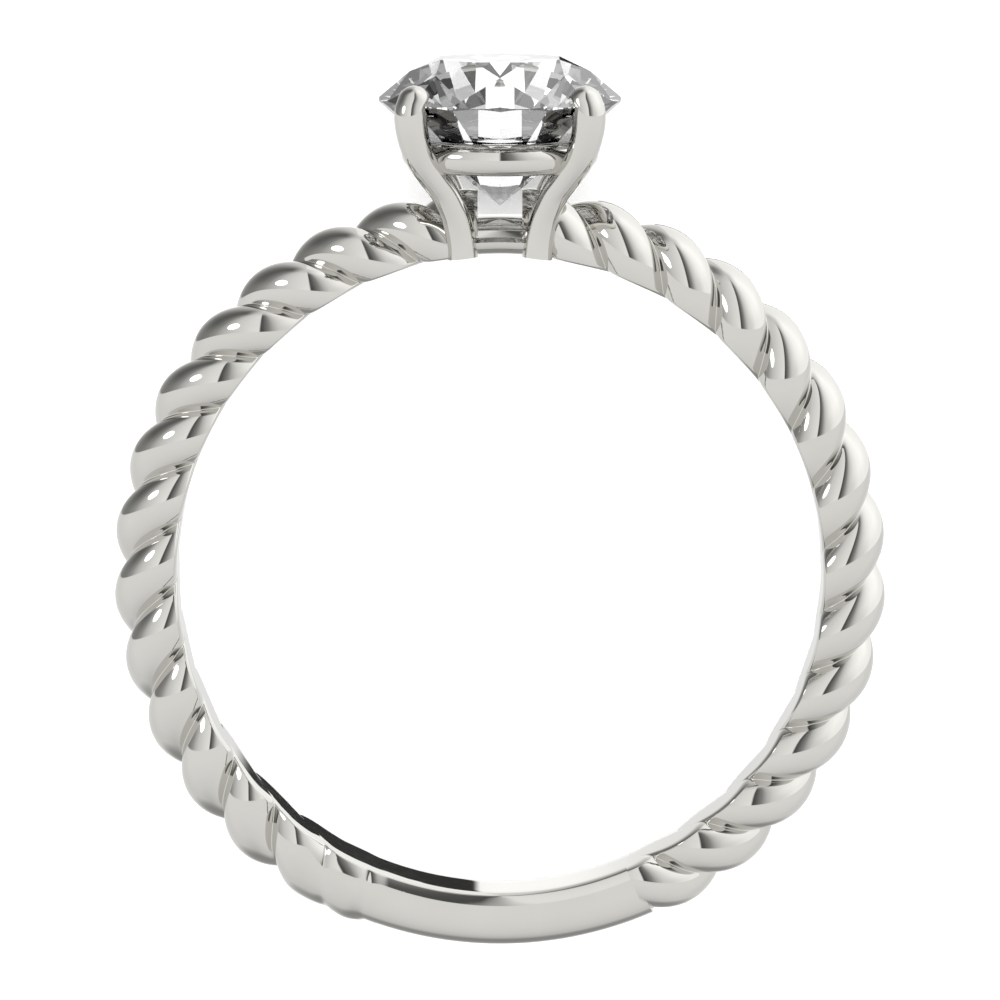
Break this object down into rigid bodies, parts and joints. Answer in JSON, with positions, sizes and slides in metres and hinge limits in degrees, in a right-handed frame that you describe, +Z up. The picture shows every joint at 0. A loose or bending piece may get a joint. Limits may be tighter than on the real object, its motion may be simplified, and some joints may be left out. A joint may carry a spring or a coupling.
{
  "type": "twisted shank ring",
  "caption": "Solitaire finger ring with a rope-twist shank, a plain sizing stretch, a prong head with a gallery ring and a round brilliant-cut stone.",
  "frame": {"origin": "middle of the bounding box's bottom, on the surface that the ring lies on", "axes": "+Z up from the surface, +Y towards the head and stone, +X to the right across the shank. The ring lies on its side, on the edge of the stone and the side of the shank, so the finger hole's axis leans 5.56 degrees from +Z towards -Y"},
  "size_m": [0.021, 0.0244, 0.0065],
  "materials": {
    "white_metal": "high polish",
    "stone": "faceted and polished"
  },
  "bodies": {
    "root": {"ring_metal": "white_metal", "stone": "stone"}
  },
  "joints": []
}
